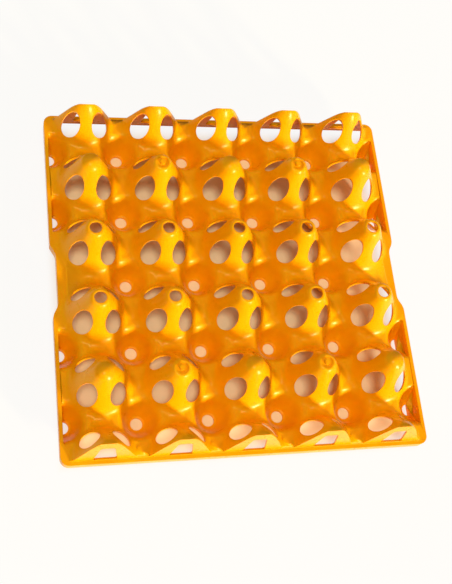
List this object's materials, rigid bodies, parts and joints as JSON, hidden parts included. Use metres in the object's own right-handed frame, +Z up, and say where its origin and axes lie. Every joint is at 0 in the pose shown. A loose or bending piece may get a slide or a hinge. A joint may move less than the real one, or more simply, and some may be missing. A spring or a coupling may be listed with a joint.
{
  "type": "egg tray",
  "caption": "Square one-piece moulded plastic egg tray: hollow conical posts with round vents stand around drained conical egg pockets, with finger notches in two edges.",
  "frame": {"origin": "under the middle of the tray, on the plane of the pocket bottoms that it stands on", "axes": "+Z up; Y runs between the two edges with half posts, X between the two edges with finger notches"},
  "size_m": [0.298, 0.298, 0.0585],
  "materials": {
    "tray_plastic": "glossy, slightly translucent yellow-orange polypropylene as moulded"
  },
  "bodies": {
    "root": {"egg_tray": "tray_plastic"}
  },
  "joints": []
}
